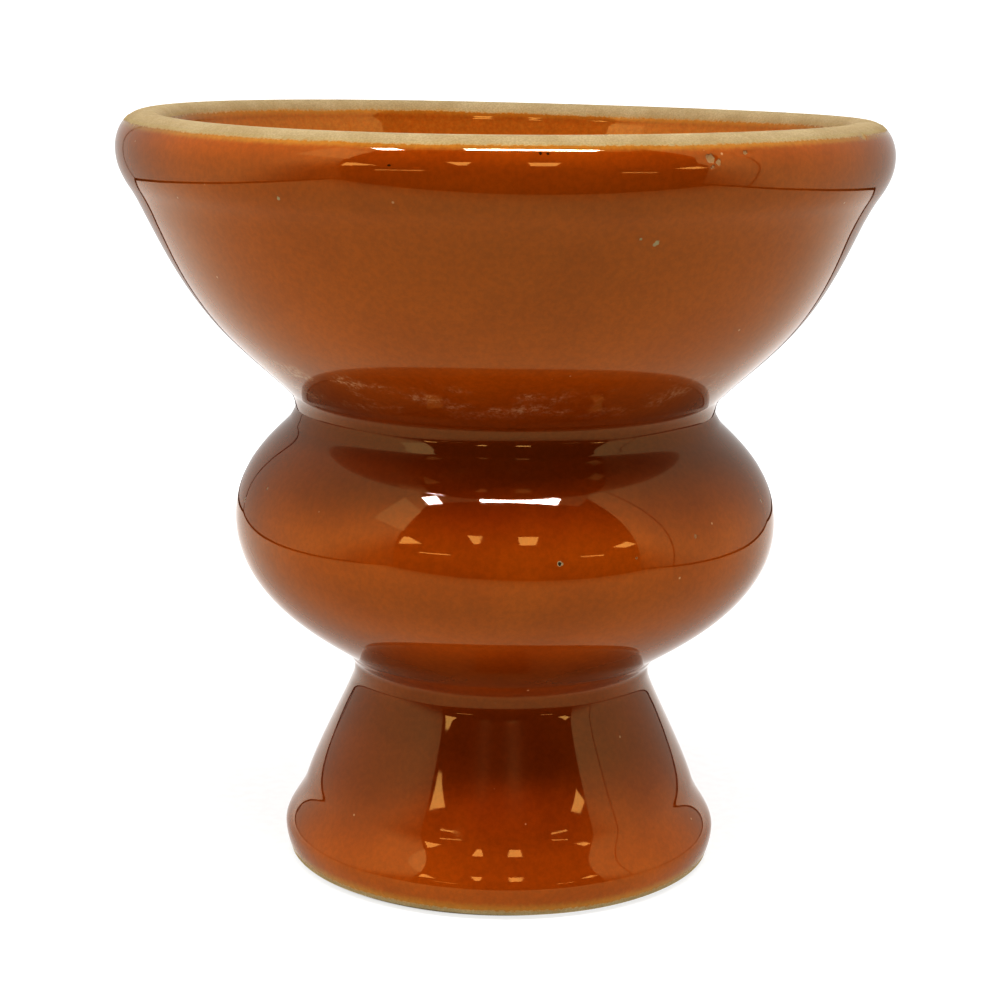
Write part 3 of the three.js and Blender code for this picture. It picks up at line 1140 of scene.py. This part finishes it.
def tent_seams():
    """Dark strips where the tent's sheets meet."""
    dark = glow_material("tent_seam", rgb(1, 1, 1), 0.0)
    at_left = -TENT_SIDE + PROUD
    at_right = TENT_SIDE - PROUD
    at_back = TENT_BACK - PROUD
    kick = (0, 0, KICK)
    panel("left_seam", (-TENT_SIDE, TENT_FRONT, PROUD), (SEAM, 0, 0), BACKWARD, dark)
    panel("right_seam", (TENT_SIDE - SEAM, TENT_FRONT, PROUD), (SEAM, 0, 0), BACKWARD, dark)
    panel("back_seam", (-TENT_SIDE, TENT_BACK - SEAM, PROUD), ACROSS, (0, SEAM, 0), dark)
    panel("left_kick", (at_left, TENT_FRONT, 0), BACKWARD, kick, dark)
    panel("right_kick", (at_right, RIGHT_WALL_FRONT, 0), RIGHT_BACKWARD, kick, dark)
    panel("back_kick", (-TENT_SIDE, at_back, 0), ACROSS, kick, dark)
    panel("back_left_seam", (at_left, TENT_BACK - SEAM, 0), (0, SEAM, 0), UP, dark)
    panel("right_wall_seam", (at_right, RIGHT_WALL_SEAM, 0), (0, WALL_SEAM, 0), UP, dark)


def lamps():
    """The bright stretch of the left wall, and the lamps under the tent's top."""
    bright = glow_material("bright_wall", rgb(1, 1, 1), BRIGHT_GLOW)
    front, long, low, high = BRIGHT_STRETCH
    panel("bright_corner", (-TENT_SIDE + PROUD, front, low), (0, long, 0), (0, 0, high), bright)
    lamp = lamp_material()
    for name, left, wide, deep in LAMPS:
        panel(name, (left, TENT_FRONT, TENT_TOP - LAMP_DROP), (wide, 0, 0), (0, deep, 0), lamp)


def room_lights():
    """Small warm lights in the room in front of the tent."""
    light = glow_material("room_light", PATCH_COLOUR, PATCH_GLOW)
    for turn, corners in PATCHES:
        angle = math.radians(turn)
        out = Vector((math.sin(angle), -math.cos(angle), 0)) * PATCHES_AWAY
        across = Vector((math.cos(angle), math.sin(angle), 0))
        places = [out + across * side * MM + Vector((0, 0, up * MM)) for side, up in corners]
        staged("room_light", places, light)


def world():
    """White behind the object for the camera, and a dark room for everything else."""
    made = bpy.data.worlds.new("studio")
    bpy.context.scene.world = made
    made.use_nodes = True
    tree = made.node_tree
    tree.nodes.clear()
    path = tree.nodes.new("ShaderNodeLightPath")
    mix = tree.nodes.new("ShaderNodeMix")
    mix.data_type = "RGBA"
    mix.inputs["A"].default_value = rgb(ROOM, ROOM, ROOM)
    mix.inputs["B"].default_value = rgb(1, 1, 1)
    tree.links.new(path.outputs["Is Camera Ray"], mix.inputs["Factor"])
    background = tree.nodes.new("ShaderNodeBackground")
    tree.links.new(mix.outputs["Result"], background.inputs["Color"])
    output = tree.nodes.new("ShaderNodeOutputWorld")
    tree.links.new(background.outputs["Background"], output.inputs["Surface"])


pale_floor()
tent_walls()
tent_seams()
lamps()
room_lights()
world()


# ---- the camera, at the photograph's viewing angle ----
CAMERA_PLACE = Vector((0.38, -245.0, 90.2)) * MM
CAMERA_DOWN = math.radians(11.93)
CAMERA_ASIDE = math.radians(0.088)
CAMERA_ROLL = math.radians(0.9)
LENS = 84.24
EXPOSURE = 0.345
GAMMA = 0.667

camera_data = bpy.data.cameras.new("camera")
camera_data.sensor_width = 36
camera_data.lens = LENS
camera_data.clip_start = 0.01
camera_data.clip_end = 10
camera = bpy.data.objects.new("camera", camera_data)
aim = Euler((math.pi / 2 - CAMERA_DOWN, 0, CAMERA_ASIDE), "XYZ").to_matrix()
camera.rotation_euler = (aim @ Matrix.Rotation(CAMERA_ROLL, 3, "Z")).to_euler()
camera.location = CAMERA_PLACE
bpy.context.scene.collection.objects.link(camera)
bpy.context.scene.camera = camera

view = bpy.context.scene.view_settings
view.view_transform = "Standard"
view.look = "None"
view.exposure = EXPOSURE
view.gamma = GAMMA
